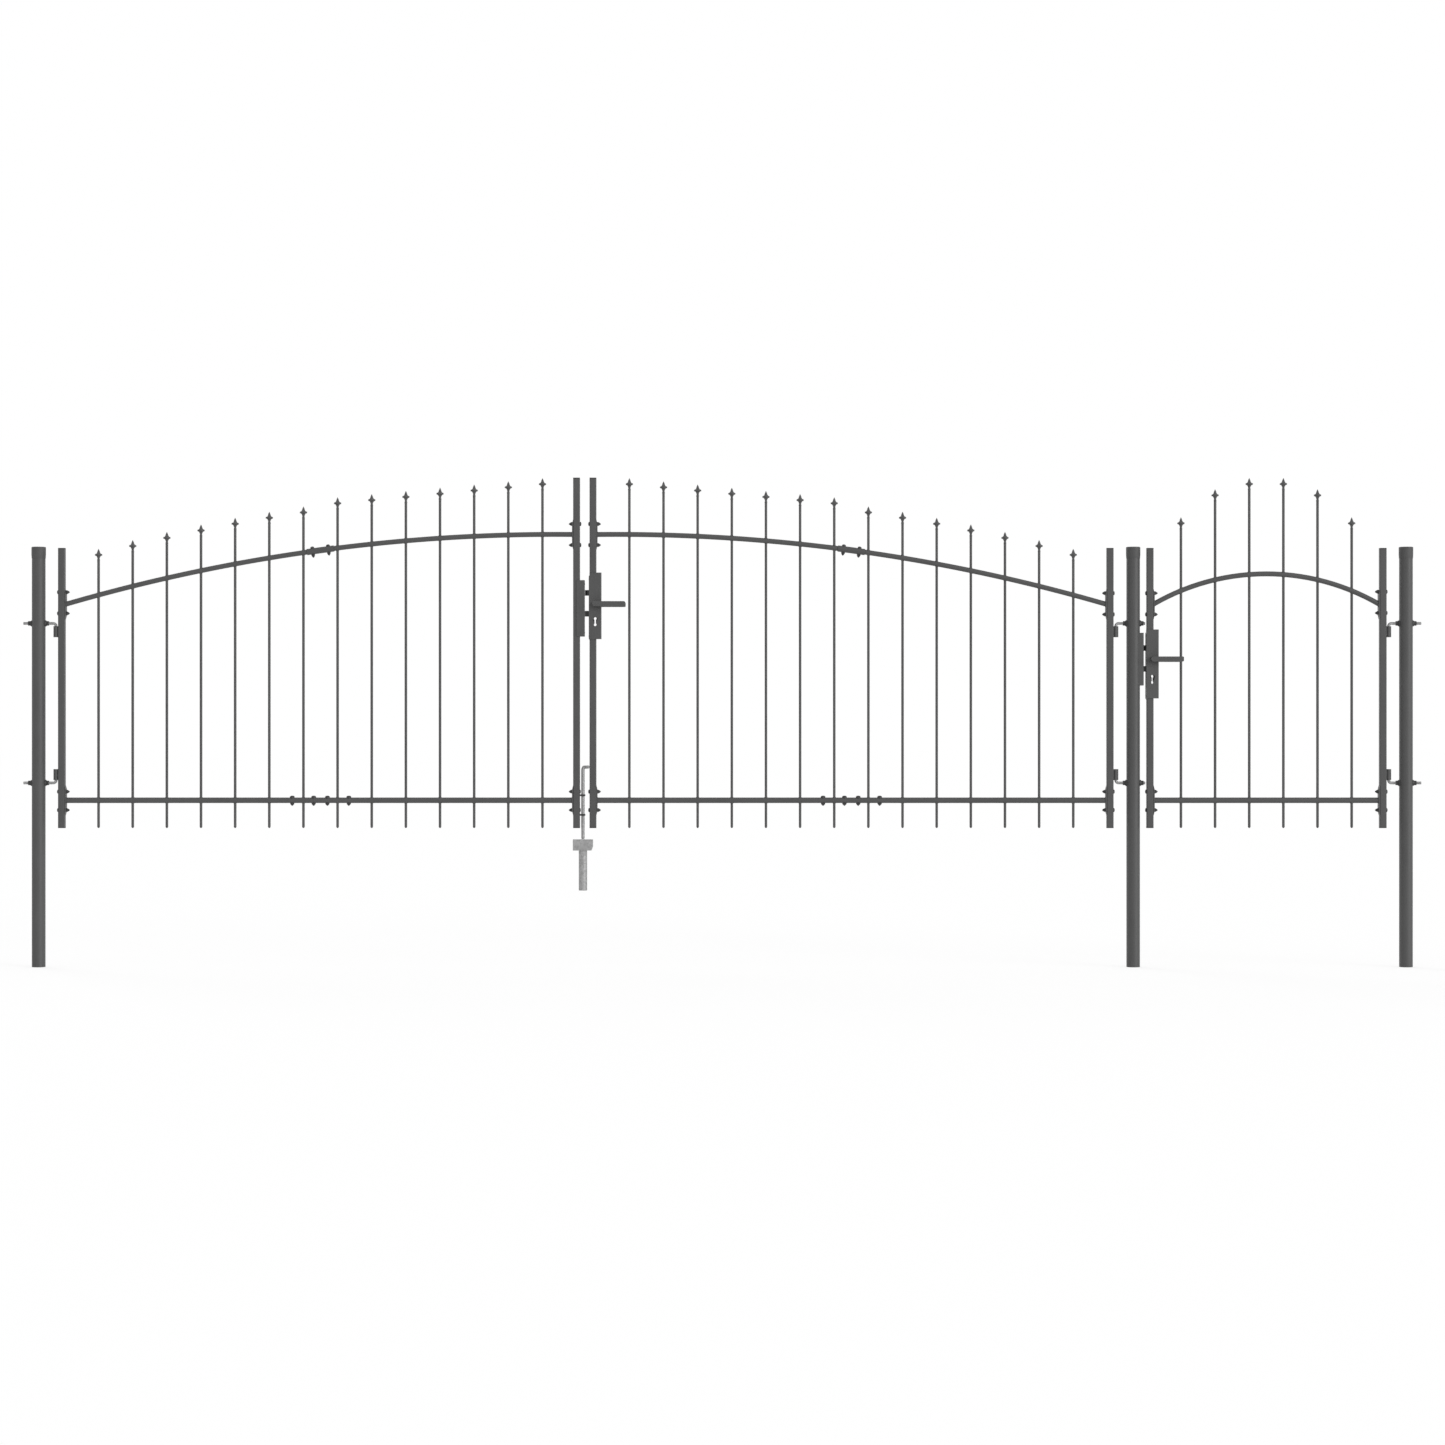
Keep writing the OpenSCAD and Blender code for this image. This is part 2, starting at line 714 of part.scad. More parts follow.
// A grip with a round root at its axis and small corners at its tip, from y0 to y1
module grip(y0, y1) {
    r = lever_height / 2;
    translate([0, y1, 0]) rotate([90, 0, 0]) linear_extrude(height = y1 - y0) {
        circle(r = r);
        difference() {
            polygon(rounded([-r, -r], [lever_reach, r], lever_corner));
            translate([-lever_height, -r]) square([lever_height, lever_height]);
        }
    }
}

// Front and back grips on one spindle
module lever(x, z) {
    inner = lock_half + lever_gap;
    color(dark) translate([x + lever_x, 0, z]) {
        rotate([90, 0, 0]) cylinder(d = spindle_d, h = 2 * inner, center = true);
        for (side = [0, 1]) mirror([0, side, 0]) {
            translate([0, inner, 0]) rotate([90, 0, 0])
                cylinder(d = neck_d, h = lever_gap - neck_gap);
            grip(inner, inner + lever_t);
        }
    }
}

// A latch with a bevelled nose: its tip is at x0, its tail at x1
module latch(x0, x1, z) {
    t = bolt_t / 2;
    nose = bolt_t * 0.6;
    color(dark) translate([0, 0, z - bolt_height / 2]) linear_extrude(height = bolt_height)
        polygon([[x0, t], [x0, t - latch_flat], [x0 + nose, -t], [x1, -t], [x1, t]]);
}

module deadbolt(x0, x1, z) {
    color(dark) box([x0, -bolt_t / 2, z - bolt_height / 2], [x1, bolt_t / 2, z + bolt_height / 2]);
}

module driveway_lock_case() {
    lock_case(right_meeting_x, lock_z, lock_top, lock_top - lock_height, key_drop);
}

module driveway_lever() lever(right_meeting_x, lock_z);

module driveway_latch() {
    latch(left_meeting_x + keeper_face + keeper_gap, right_meeting_x + bolt_tail, lock_z + latch_up);
}

module driveway_deadbolt() {
    deadbolt(left_meeting_x + keeper_face + keeper_gap, right_meeting_x + bolt_tail,
        lock_z - deadbolt_down);
}

module side_lock_case() {
    lock_case(lock_stile_x, side_lock_z, side_lock_top, side_lock_top - side_lock_height, side_key_drop);
}

module side_lever() lever(lock_stile_x, side_lock_z);

module side_latch() {
    latch(side_keeper_face + keeper_gap, lock_stile_x + bolt_tail, side_lock_z + latch_up);
}

module side_deadbolt() {
    deadbolt(side_keeper_face + keeper_gap, lock_stile_x + bolt_tail, side_lock_z - deadbolt_down);
}

// Keepers

// A folded box on the left meeting stile that takes the driveway lock's bolts
module driveway_keeper() {
    x = left_meeting_x;
    depth = half + keeper_wall;
    top = lock_z + keeper_over;
    low = top - keeper_height;
    color(coat) difference() {
        box([x, -depth, low], [x + keeper_face, depth, top]);
        box([x - over, -half, low - over], [x + half, half, top + over]);
        box([x, -half, low + keeper_wall], [x + keeper_face - keeper_wall, half, top - keeper_wall]);
        bolt_slots(x + half, x + stile + keeper_face, lock_z, slot_room);
    }
}

// A folded box on the middle post that takes the side gate lock's bolts
module side_keeper() {
    depth = side_keeper_depth / 2;
    top = side_lock_z + side_keeper_over;
    low = top - side_keeper_height;
    color(coat) difference() {
        box([post_r / 2, -depth, low], [side_keeper_face, depth, top]);
        cylinder(d = post_d, h = post_top);
        box([0, keeper_wall - depth, low + keeper_wall],
            [side_keeper_face - keeper_wall, depth - keeper_wall, top - keeper_wall]);
        bolt_slots(post_r, side_keeper_face + post_r, side_lock_z, slot_room);
    }
}

// Drop bolt

module drop_bolt_guides() {
    reach = drop_x + drop_d / 2 + guide_clear + guide_rim;
    color(dark) for (up = [upper_guide_up, lower_guide_up])
        translate([left_meeting_x, 0, leaf_bottom + up - guide_t / 2]) difference() {
            box([half, -guide_depth / 2, 0], [reach, guide_depth / 2, guide_t]);
            translate([drop_x, 0, -over])
                cylinder(d = drop_d + 2 * guide_clear, h = guide_t + 2 * over);
        }
}

// A rod with an arm that is bent back at its top
module drop_bolt() {
    low = socket_top + socket_gap;
    top = leaf_bottom + arm_up;
    color(zinc) translate([socket_x, 0, 0]) rotate([0, 0, atan2(arm_back, arm_side)]) {
        rotate_extrude() polygon([
            [0, low], [drop_d / 2 - drop_point, low], [drop_d / 2, low + drop_point],
            [drop_d / 2, top - arm_bend], [0, top - arm_bend]
        ]);
        translate([arm_bend, 0, top - arm_bend]) rotate([90, 0, 0]) rotate([0, 0, 90])
            rotate_extrude(angle = 90) translate([arm_bend, 0]) circle(d = drop_d);
        translate([0, 0, top]) bar_x(drop_d, arm_bend, norm([arm_side, arm_back]));
    }
}

// A head with one chamfered corner on a tube that is sunk in the ground
module ground_socket() {
    w = socket_width / 2;
    hole = drop_d + 2 * socket_clear;
    color(zinc) translate([socket_x, 0, socket_top - socket_head]) difference() {
        union() {
            rotate([90, 0, 0]) linear_extrude(height = socket_depth, center = true) polygon([
                [-w, 0], [w - socket_chamfer_width, 0], [w, socket_chamfer], [w, socket_head],
                [-w, socket_head]
            ]);
            translate([0, 0, -socket_tube]) cylinder(d = socket_d, h = socket_tube);
        }
        translate([0, 0, -socket_tube - over]) cylinder(d = hole, h = socket_tube + socket_head + 2 * over);
        translate([0, 0, -socket_tube - over])
            cylinder(d = socket_d - 2 * socket_wall, h = socket_tube + over);
    }
}

left_post();
middle_post();
right_post();
post_caps();
left_hinge_hooks();
middle_hinge_hooks();
right_hinge_hooks();
hinge_nuts();
side_keeper();
ground_socket();
left_hinge_stile();
left_meeting_stile();
left_outer_panel();
left_inner_panel();
left_arch_sleeve();
left_end_plugs();
driveway_keeper();
drop_bolt_guides();
drop_bolt();
right_hinge_stile();
right_meeting_stile();
right_outer_panel();
right_inner_panel();
right_arch_sleeve();
right_end_plugs();
driveway_lock_case();
driveway_lever();
driveway_latch();
driveway_deadbolt();
side_hinge_stile();
side_lock_stile();
side_panel();
side_end_plugs();
side_lock_case();
side_lever();
side_latch();
side_deadbolt();
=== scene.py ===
"""Looks for the arched double driveway gate and its side gate: finishes, small forms, light, camera."""
import json
import math

import bmesh
import bpy
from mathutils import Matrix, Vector


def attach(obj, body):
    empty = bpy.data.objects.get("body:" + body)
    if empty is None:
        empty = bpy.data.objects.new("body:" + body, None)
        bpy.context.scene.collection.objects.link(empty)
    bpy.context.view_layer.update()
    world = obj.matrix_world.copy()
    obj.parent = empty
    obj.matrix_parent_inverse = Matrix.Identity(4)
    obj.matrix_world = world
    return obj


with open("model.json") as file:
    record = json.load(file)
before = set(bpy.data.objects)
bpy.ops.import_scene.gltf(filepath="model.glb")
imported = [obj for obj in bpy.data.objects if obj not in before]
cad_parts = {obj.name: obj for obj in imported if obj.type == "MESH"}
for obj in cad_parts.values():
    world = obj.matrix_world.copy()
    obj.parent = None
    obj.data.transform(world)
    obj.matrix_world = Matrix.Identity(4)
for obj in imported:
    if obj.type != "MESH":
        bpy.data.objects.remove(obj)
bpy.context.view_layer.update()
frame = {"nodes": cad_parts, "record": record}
nodes = frame["nodes"]

MM = 0.001
FULL_TURN = 2 * math.pi
Y_AXIS, Z_AXIS = Vector((0, 1, 0)), Vector((0, 0, 1))

# The gate's places and sizes, in millimetres, as in the part's source

# Half a stile's width and the thickness of the end plates that the rails are welded to
HALF_STILE, PLATE_T = 12.0, 4.0
# Bottom rails, arches and pickets
RAIL_Z, RAIL_R = 595.0, 10.0
ARCH_R = 9.0
SPRING_Z, CROWN_Z, SIDE_CROWN_Z = 1295.0, 1545.0, 1404.0
CROWN_RUN = 1764.0
PICKET_R, PITCH = 4.5, 122.0
# Where the halves of a driveway leaf meet, from its first stile, and the sleeve over the arch there
SPLICE_X, SLEEVE_R = 924.0, 11.2
# Hinge hooks, their nuts' reach from the post's centre, and the barrels that turn on them
HOOK_R, HOOK_AXIS, HOOK_BEND = 5.0, 62.0, 10.0
UPPER_HOOK_Z, LOWER_HOOK_Z = 1227.0, 657.0
NUT_REACH = 36.5
BARREL_R, BARREL_LENGTH, BARREL_SEAT = 9.0, 39.0, 10.3
# Each post's x, the way from it to its leaf, and how far the hooks' tails reach from its centre
HOOKS = ((-3910.5, 1, 54.0), (0.0, -1, 42.5), (974.7, -1, 54.0))
# Height under which the drop rod stands beside the left leaf's meeting stile
DROP_ROD_TOP = 720.0


# Leaves: where the first stile's centre stands, which way the leaf runs, its width and its arch

def arch_radius(run, rise):
    """The radius of an arc that rises by rise over run."""
    return (run * run + rise * rise) / (2 * rise)


class Leaf:
    """A gate leaf, drawn from one stile at x = 0 towards the other at x = width."""

    def __init__(self, body, origin, way, width, crown_x, crown_z, first_picket, count):
        self.body, self.origin, self.way, self.width = body, origin, way, width
        self.crown_x, self.crown_z = crown_x, crown_z
        self.radius = arch_radius(crown_x - HALF_STILE, crown_z - SPRING_Z)
        self.pickets = [first_picket + i * PITCH for i in range(count)]

    def arch_z(self, x):
        """Height of the arch's centre line."""
        return self.crown_z - self.radius + math.sqrt(self.radius ** 2 - (x - self.crown_x) ** 2)

    def slope(self, x):
        """Rise of the arch a millimetre along x."""
        return (self.crown_x - x) / math.sqrt(self.radius ** 2 - (x - self.crown_x) ** 2)

    def at(self, x, y, z):
        """A place on the leaf, in the shared frame, in millimetres."""
        return Vector((self.origin + self.way * x, y, z))

    def along(self, x, z):
        """A direction in the leaf's plane."""
        return Vector((self.way * x, 0, z)).normalized()


LEFT = Leaf("left_leaf", origin=-3827.5, way=1, width=1839.0,
            crown_x=CROWN_RUN, crown_z=CROWN_Z, first_picket=131.0, count=14)
RIGHT = Leaf("right_leaf", origin=-83.0, way=-1, width=1847.0,
             crown_x=CROWN_RUN, crown_z=CROWN_Z, first_picket=131.0, count=14)
SIDE = Leaf("side_gate", origin=59.7, way=1, width=832.0,
            crown_x=416.0, crown_z=SIDE_CROWN_Z, first_picket=111.0, count=6)


# Materials

def grey(value):
    """A neutral colour."""
    return (value, value, value, 1)


def new_material(name):
    """A new node material, its node tree and its Principled shader."""
    material = bpy.data.materials.new(name)
    material.use_nodes = True
    return material, material.node_tree, material.node_tree.nodes["Principled BSDF"]


def add_noise(tree, scale, detail=4.0, roughness=0.55):
    """A noise texture in object space, so its grain keeps its real size."""
    coords = tree.nodes.new("ShaderNodeTexCoord")
    noise = tree.nodes.new("ShaderNodeTexNoise")
    noise.inputs["Scale"].default_value = scale
    noise.inputs["Detail"].default_value = detail
    noise.inputs["Roughness"].default_value = roughness
    tree.links.new(coords.outputs["Object"], noise.inputs["Vector"])
    return noise.outputs["Fac"]


def add_spangle(tree, scale):
    """A shade for each crystal of a zinc coat, in object space."""
    coords = tree.nodes.new("ShaderNodeTexCoord")
    cells = tree.nodes.new("ShaderNodeTexVoronoi")
    cells.inputs["Scale"].default_value = scale
    tree.links.new(coords.outputs["Object"], cells.inputs["Vector"])
    return cells.outputs["Color"]


def add_mix(tree, first, second, share):
    """first with a share of second mixed in."""
    mix = tree.nodes.new("ShaderNodeMix")
    mix.inputs["Factor"].default_value = share
    tree.links.new(first, mix.inputs["A"])
    tree.links.new(second, mix.inputs["B"])
    return mix.outputs["Result"]


def add_ramp(tree, source, socket, low, high, start=0.3, end=0.7):
    """Greys from low to high, driven by source, into a shader's socket."""
    ramp = tree.nodes.new("ShaderNodeValToRGB")
    ramp.color_ramp.elements[0].position = start
    ramp.color_ramp.elements[0].color = grey(low)
    ramp.color_ramp.elements[1].position = end
    ramp.color_ramp.elements[1].color = grey(high)
    tree.links.new(source, ramp.inputs["Fac"])
    tree.links.new(ramp.outputs["Color"], socket)


def add_bump(tree, shader, source, strength, distance):
    """Bump from source into the shader's normal."""
    bump = tree.nodes.new("ShaderNodeBump")
    bump.inputs["Strength"].default_value = strength
    bump.inputs["Distance"].default_value = distance
    tree.links.new(source, bump.inputs["Height"])
    tree.links.new(bump.outputs["Normal"], shader.inputs["Normal"])


def coated_steel():
    """Anthracite powder coat: a fine orange-peel skin, speckled, with slight cloudiness."""
    material, tree, shader = new_material("coated_steel")
    cloud = add_noise(tree, scale=9.0)
    peel = add_noise(tree, scale=650.0, detail=3.0)
    speckle = add_mix(tree, cloud, peel, share=0.5)
    add_ramp(tree, speckle, shader.inputs["Base Color"], low=0.052, high=0.074)
    add_ramp(tree, cloud, shader.inputs["Roughness"], low=0.46, high=0.58)
    shader.inputs["Specular IOR Level"].default_value = 0.4
    add_bump(tree, shader, peel, strength=0.3, distance=0.0005)
    return material


def zinc_steel():
    """Zinc coat: pale grey crystals a few millimetres wide under a fine grain."""
    material, tree, shader = new_material("zinc_steel")
    grain = add_noise(tree, scale=260.0, detail=5.0)
    crystals = add_mix(tree, add_spangle(tree, scale=130.0), grain, share=0.45)
    add_ramp(tree, crystals, shader.inputs["Base Color"], low=0.275, high=0.355)
    add_ramp(tree, crystals, shader.inputs["Roughness"], low=0.62, high=0.52)
    shader.inputs["Metallic"].default_value = 0.6
    add_bump(tree, shader, grain, strength=0.1, distance=0.0003)
    return material


def black_plastic():
    """Moulded black plastic with a light grain."""
    material, tree, shader = new_material("black_plastic")
    add_ramp(tree, add_noise(tree, scale=25.0), shader.inputs["Base Color"], low=0.022, high=0.032)
    shader.inputs["Roughness"].default_value = 0.62
    add_bump(tree, shader, add_noise(tree, scale=1500.0, detail=2.0), strength=0.15, distance=0.0002)
    return material


def grey_plastic():
    """Moulded plastic in the coat's grey, with a fine matt grain."""
    material, tree, shader = new_material("grey_plastic")
    add_ramp(tree, add_noise(tree, scale=25.0), shader.inputs["Base Color"], low=0.056, high=0.066)
    shader.inputs["Roughness"].default_value = 0.6
    shader.inputs["Specular IOR Level"].default_value = 0.4
    add_bump(tree, shader, add_noise(tree, scale=1300.0, detail=2.0), strength=0.15, distance=0.0002)
    return material


def black_steel():
    """Blackened steel of nuts, bolts and guides."""
    material, tree, shader = new_material("black_steel")
    cloud = add_noise(tree, scale=40.0)
    add_ramp(tree, cloud, shader.inputs["Base Color"], low=0.018, high=0.03)
    add_ramp(tree, cloud, shader.inputs["Roughness"], low=0.42, high=0.54)
    shader.inputs["Specular IOR Level"].default_value = 0.4
    add_bump(tree, shader, add_noise(tree, scale=1100.0, detail=2.0), strength=0.12, distance=0.0003)
    return material


MATERIALS = {make.__name__: make() for make in (
    coated_steel, zinc_steel, black_plastic, grey_plastic, black_steel)}


# Nodes: soft edges and finishes

# Edge radius, in millimetres, of the nodes whose edges show
SOFT_EDGES = {
    "driveway_lock_case": 0.5, "side_lock_case": 0.5, "driveway_keeper": 0.7, "side_keeper": 0.7,
    "driveway_lever": 1.2, "side_lever": 1.2, "driveway_latch": 0.6, "side_latch": 0.6,
    "driveway_deadbolt": 0.8, "side_deadbolt": 0.8, "drop_bolt_guides": 0.6, "hinge_nuts": 0.5,
    "ground_socket": 1.0, "left_end_plugs": 0.8, "right_end_plugs": 0.8, "side_end_plugs": 0.8,
}
EDGE_SEGMENTS = 2
# Distance, in metres, under which two points of a node are one
WELD_DISTANCE = 1e-5
# Edges sharper than these stay sharp on the nodes and on the scene's own pieces
NODE_CREASE, PIECE_CREASE = math.radians(50), math.radians(40)


def finish_nodes():
    """Gives each CAD node the material of its slot, softened edges and even shading."""
    slots = {part["node"]: part["material_slot"] for part in frame["record"]["subparts"]}
    for name, obj in nodes.items():
        obj.data.materials.clear()
        obj.data.materials.append(MATERIALS[slots[name]])
        weld = obj.modifiers.new("weld", "WELD")
        weld.merge_threshold = WELD_DISTANCE
        if name in SOFT_EDGES:
            bevel = obj.modifiers.new("edges", "BEVEL")
            bevel.width = SOFT_EDGES[name] * MM
            bevel.segments = EDGE_SEGMENTS
            bevel.limit_method = "ANGLE"
            bevel.angle_limit = NODE_CREASE
        split = obj.modifiers.new("split", "EDGE_SPLIT")
        split.split_angle = NODE_CREASE
        obj.modifiers.new("normals", "WEIGHTED_NORMAL")


# Small forms: turned heads and nuts, threads and weld beads

# Threads: pitch, height over the rod, depth in the rod, half width, and stops a turn
THREAD_PITCH, THREAD_RISE, THREAD_SUNK, THREAD_HALF, THREAD_STOPS = 1.5, 0.35, 0.3, 0.675, 16
# A weld bead's ripple: its share of the radius and its phase from stop to stop
BEAD_RIPPLE, BEAD_PHASE = 0.12, 2.4
# A direction with more than this along Y counts as running along Y
ALONG_Y = 0.99


def axis_frame(axis):
    """Two unit vectors across axis, and the one along it."""
    frame_z = axis.normalized()
    frame_x = frame_z.orthogonal().normalized()
    return frame_x, frame_z.cross(frame_x), frame_z


def turned(bm, place, axis, rings, sides=24):
    """A closed turned form: rings of (height, radius, flats) along axis, where flats 1 is a hexagon."""
    frame_x, frame_y, frame_z = axis_frame(axis)
    sixth = FULL_TURN / 6
    rows = []
    for height, radius, flats in rings:
        centre = place + frame_z * height
        if radius == 0:
            rows.append([bm.verts.new(centre * MM)])
            continue
        row = []
        for i in range(sides):
            a = FULL_TURN * i / sides
            hexagon = math.cos(sixth / 2) / math.cos(a % sixth - sixth / 2)
            r = radius * (1 + flats * (hexagon - 1))
            spot = centre + frame_x * (r * math.cos(a)) + frame_y * (r * math.sin(a))
            row.append(bm.verts.new(spot * MM))
        rows.append(row)
    for low, high in zip(rows, rows[1:]):
        for i in range(sides):
            j = (i + 1) % sides
            if len(high) == 1:
                bm.faces.new((low[i], low[j], high[0]))
            else:
                bm.faces.new((low[i], low[j], high[j], high[i]))
    bm.faces.new(list(reversed(rows[0])))


def swept(bm, path, section, closed=False):
    """A solid bar along path, with stops of (place, out, side); section holds offsets along out and side."""
    rows = []
    for place, out, side in path:
        rows.append([bm.verts.new((place + out * u + side * v) * MM) for u, v in section])
    count = len(section)
    pairs = list(zip(rows, rows[1:])) + ([(rows[-1], rows[0])] if closed else [])
    for low, high in pairs:
        for i in range(count):
            j = (i + 1) % count
            bm.faces.new((low[i], low[j], high[j], high[i]))
    if not closed:
        bm.faces.new(list(reversed(rows[0])))
        bm.faces.new(rows[-1])


def round_section(radius, sides=6):
    """Points round a small circle."""
    angles = [FULL_TURN * i / sides for i in range(sides)]
    return [(radius * math.cos(a), radius * math.sin(a)) for a in angles]


def bead(bm, points, radius, closed):
    """A weld bead along points, with the slight ripple of a run weld."""
    path = []
    count = len(points)
    for i, place in enumerate(points):
        before = points[(i - 1) % count] if closed or i else place
        after = points[(i + 1) % count] if closed or i + 1 < count else place
        way = (after - before).normalized()
        across = way.orthogonal() if abs(way.y) > ALONG_Y else way.cross(Y_AXIS)
        out = across.normalized()
        swell = 1.0 + BEAD_RIPPLE * math.sin(BEAD_PHASE * i)
        path.append((place, out * swell, way.cross(out) * swell))
    swept(bm, path, round_section(radius), closed)


def thread(bm, start, axis, length, radius):
    """A screw thread's ridge round a rod of that radius."""
    frame_x, frame_y, frame_z = axis_frame(axis)
    path = []
    for i in range(int(THREAD_STOPS * (length - THREAD_PITCH) / THREAD_PITCH) + 1):
        a = FULL_TURN * i / THREAD_STOPS
        out = frame_x * math.cos(a) + frame_y * math.sin(a)
        run = THREAD_PITCH / 2 + THREAD_PITCH * i / THREAD_STOPS
        path.append((start + frame_z * run, out, frame_z))
    foot, crest = radius - THREAD_SUNK, radius + THREAD_RISE
    swept(bm, path, [(foot, -THREAD_HALF), (crest, 0), (foot, THREAD_HALF)])


def add_piece(name, body, slot, build):
    """A mesh piece made by build(bm), that rides on body and takes the finish of slot."""
    bm = bmesh.new()
    build(bm)
    bmesh.ops.recalc_face_normals(bm, faces=bm.faces)
    for face in bm.faces:
        face.smooth = True
    mesh = bpy.data.meshes.new(name)
    bm.to_mesh(mesh)
    bm.free()
    mesh.set_sharp_from_angle(angle=PIECE_CREASE)
    obj = bpy.data.objects.new(name, mesh)
    bpy.context.collection.objects.link(obj)
    mesh.materials.append(MATERIALS[slot])
    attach(obj, body)


# Fasteners: each list holds (height over the seat, radius, flats); the first ring is sunk

PLATE_HEAD = [(-3, 7.5, 0), (1.8, 7.5, 0), (3.3, 6.9, 0), (4.3, 5.2, 0), (4.9, 2.8, 0), (5, 0, 0)]
LOW_HEAD = [(-3, 7, 0), (1, 7, 0), (2, 6.4, 0), (2.7, 4.6, 0), (3, 2.4, 0), (3.1, 0, 0)]
ROUND_HEAD = [(-3, 7, 0), (2.2, 7, 0), (3.8, 6.4, 0), (5.1, 4.8, 0), (5.8, 2.6, 0), (6, 0, 0)]
CAP_NUT = [(-4, 7, 1), (4, 7, 1), (4.8, 6.2, 0.6), (5, 5.6, 0), (7, 5, 0), (9.5, 3.4, 0),
           (11.6, 1.4, 0), (12.2, 0, 0)]
RAIL_HEAD = [(-5, 8.5, 0), (2.4, 8.5, 0), (4.2, 7.8, 0), (5.6, 5.9, 0), (6.4, 3.2, 0), (6.6, 0, 0)]
RAIL_NUT = [(-5, 8, 1), (3.4, 8, 1), (4.2, 7.2, 0.6), (4.4, 6.2, 0), (6, 5.2, 0), (8, 3.4, 0),
            (9.6, 1.4, 0), (10.1, 0, 0)]
SCREW_HEAD = [(-1, 3.6, 0), (0.5, 3.6, 0), (0.9, 3.1, 0), (0.9, 1.7, 0), (0.2, 0.9, 0), (0.2, 0, 0)]

# Heights of the bolts through the stiles: over and under the bottom rail, and at each end of an arch
RAIL_BOLTS = (RAIL_Z + 31, RAIL_Z - 35)
RIGHT_HINGE_BOLTS = (SPRING_Z + 39.9, SPRING_Z - 35.9)
LEFT_HINGE_BOLTS = (SPRING_Z + 43.5, SPRING_Z - 32.3)
SIDE_LOCK_BOLTS = RIGHT_HINGE_BOLTS
SIDE_HINGE_BOLTS = (SPRING_Z + 45.0, SPRING_Z - 30.8)
MEETING_BOLTS = (CROWN_Z + 37.2, CROWN_Z - 38.2)
# Bolts at the splices, along the leaf: through the arch's sleeve and through the bottom rail
SLEEVE_BOLTS = (SPLICE_X - 28, SPLICE_X + 28)
SPLICE_BOLTS = (SPLICE_X - 101, SPLICE_X - 24.6, SPLICE_X + 24.6, SPLICE_X + 101)

# Screws of the locks' and keepers' plates: piece, body, the plate's face, the way it looks, heights
PLATE_SCREWS = (
    ("driveway_forend_screws", "right_leaf", -1944.5, -1, (1385.0, 1181.0)),
    ("driveway_keeper_screws", "left_leaf", -1959.5, 1, (1367.0, 1194.0)),
    ("side_forend_screws", "side_gate", 45.2, -1, (1182.0, 969.0)),
    ("side_keeper_screws", "posts", 35.5, 1, (1179.0, 1019.0)),
)


def plate_bolts(bm, leaf, first_tops, last_tops):
    """Bolts through both stiles and the end plates: a head outside and a pointed cap nut inside."""
    for x, inward, tops in ((0, 1, first_tops), (leaf.width, -1, last_tops)):
        for z in (*tops, *RAIL_BOLTS):
            beside_rod = leaf is LEFT and x > 0 and z < DROP_ROD_TOP
            head = LOW_HEAD if beside_rod else PLATE_HEAD
            turned(bm, leaf.at(x - inward * HALF_STILE, 0, z), leaf.along(-inward, 0), head)
            seat = leaf.at(x + inward * (HALF_STILE + PLATE_T), 0, z)
            turned(bm, seat, leaf.along(inward, 0), CAP_NUT)


def through_bolt(bm, place, up, reach, head, nut):
    """A bolt through a bar whose surface is reach from place: its head up and its nut down."""
    turned(bm, place + up * reach, up, head)
    turned(bm, place - up * reach, -up, nut)


def splice_bolts(bm, leaf):
    """Bolts through the arch's sleeve and through the joint of the bottom rail, heads up."""
    for x in SLEEVE_BOLTS:
        place, up = leaf.at(x, 0, leaf.arch_z(x)), leaf.along(-leaf.slope(x), 1)
        through_bolt(bm, place, up, SLEEVE_R, ROUND_HEAD, CAP_NUT)
    for x in SPLICE_BOLTS:
        through_bolt(bm, leaf.at(x, 0, RAIL_Z), Z_AXIS, RAIL_R, RAIL_HEAD, RAIL_NUT)


def leaf_bolts(leaf, first_tops, last_tops):
    """All bolts of a leaf, whose upper ones stand at these heights on its first and last stile."""
    def build(bm):
        plate_bolts(bm, leaf, first_tops, last_tops)
        if leaf is not SIDE:
            splice_bolts(bm, leaf)
    add_piece(leaf.body + "_bolts", leaf.body, "black_steel", build)


def plate_screws(name, body, x, way, heights):
    """Small screws in a lock's or a keeper's plate."""
    def build(bm):
        for z in heights:
            turned(bm, Vector((x, 0, z)), Vector((way, 0, 0)), SCREW_HEAD)
    add_piece(name, body, "black_steel", build)


# Welds

# Stops of a bead, and the beads' radii at pickets, at the ends of rails and at hinge barrels
BEAD_STOPS = 16
PICKET_BEAD_R, END_BEAD_R, BARREL_BEAD_R = 1.3, 1.6, 1.7
# How far each bead's middle lies off the picket, the end plate and the stile
PICKET_BEAD_OFF, END_BEAD_OFF, BARREL_BEAD_OFF = 0.3, 0.4, 0.5
# A barrel's beads: their place in front of and behind its axis, and their distance from its ends
BARREL_BEAD_Y, BARREL_BEAD_END = BARREL_R / 2 + 0.6, 2.0
BEAD_TURN = [FULL_TURN * i / BEAD_STOPS for i in range(BEAD_STOPS)]


def picket_welds(bm, leaf):
    """Beads where the pickets enter the bottom rail and the arch, above and below."""
    r = PICKET_R + PICKET_BEAD_OFF
    for x in leaf.pickets:
        for side in (1, -1):
            on_rail, on_arch = [], []
            for a in BEAD_TURN:
                here, y = x + r * math.cos(a), r * math.sin(a)
                on_rail.append(leaf.at(here, y, RAIL_Z + side * math.sqrt(RAIL_R ** 2 - y ** 2)))
                reach = math.sqrt(ARCH_R ** 2 - y ** 2) * math.hypot(1, leaf.slope(here))
                on_arch.append(leaf.at(here, y, leaf.arch_z(here) + side * reach))
            bead(bm, on_rail, PICKET_BEAD_R, True)
            bead(bm, on_arch, PICKET_BEAD_R, True)


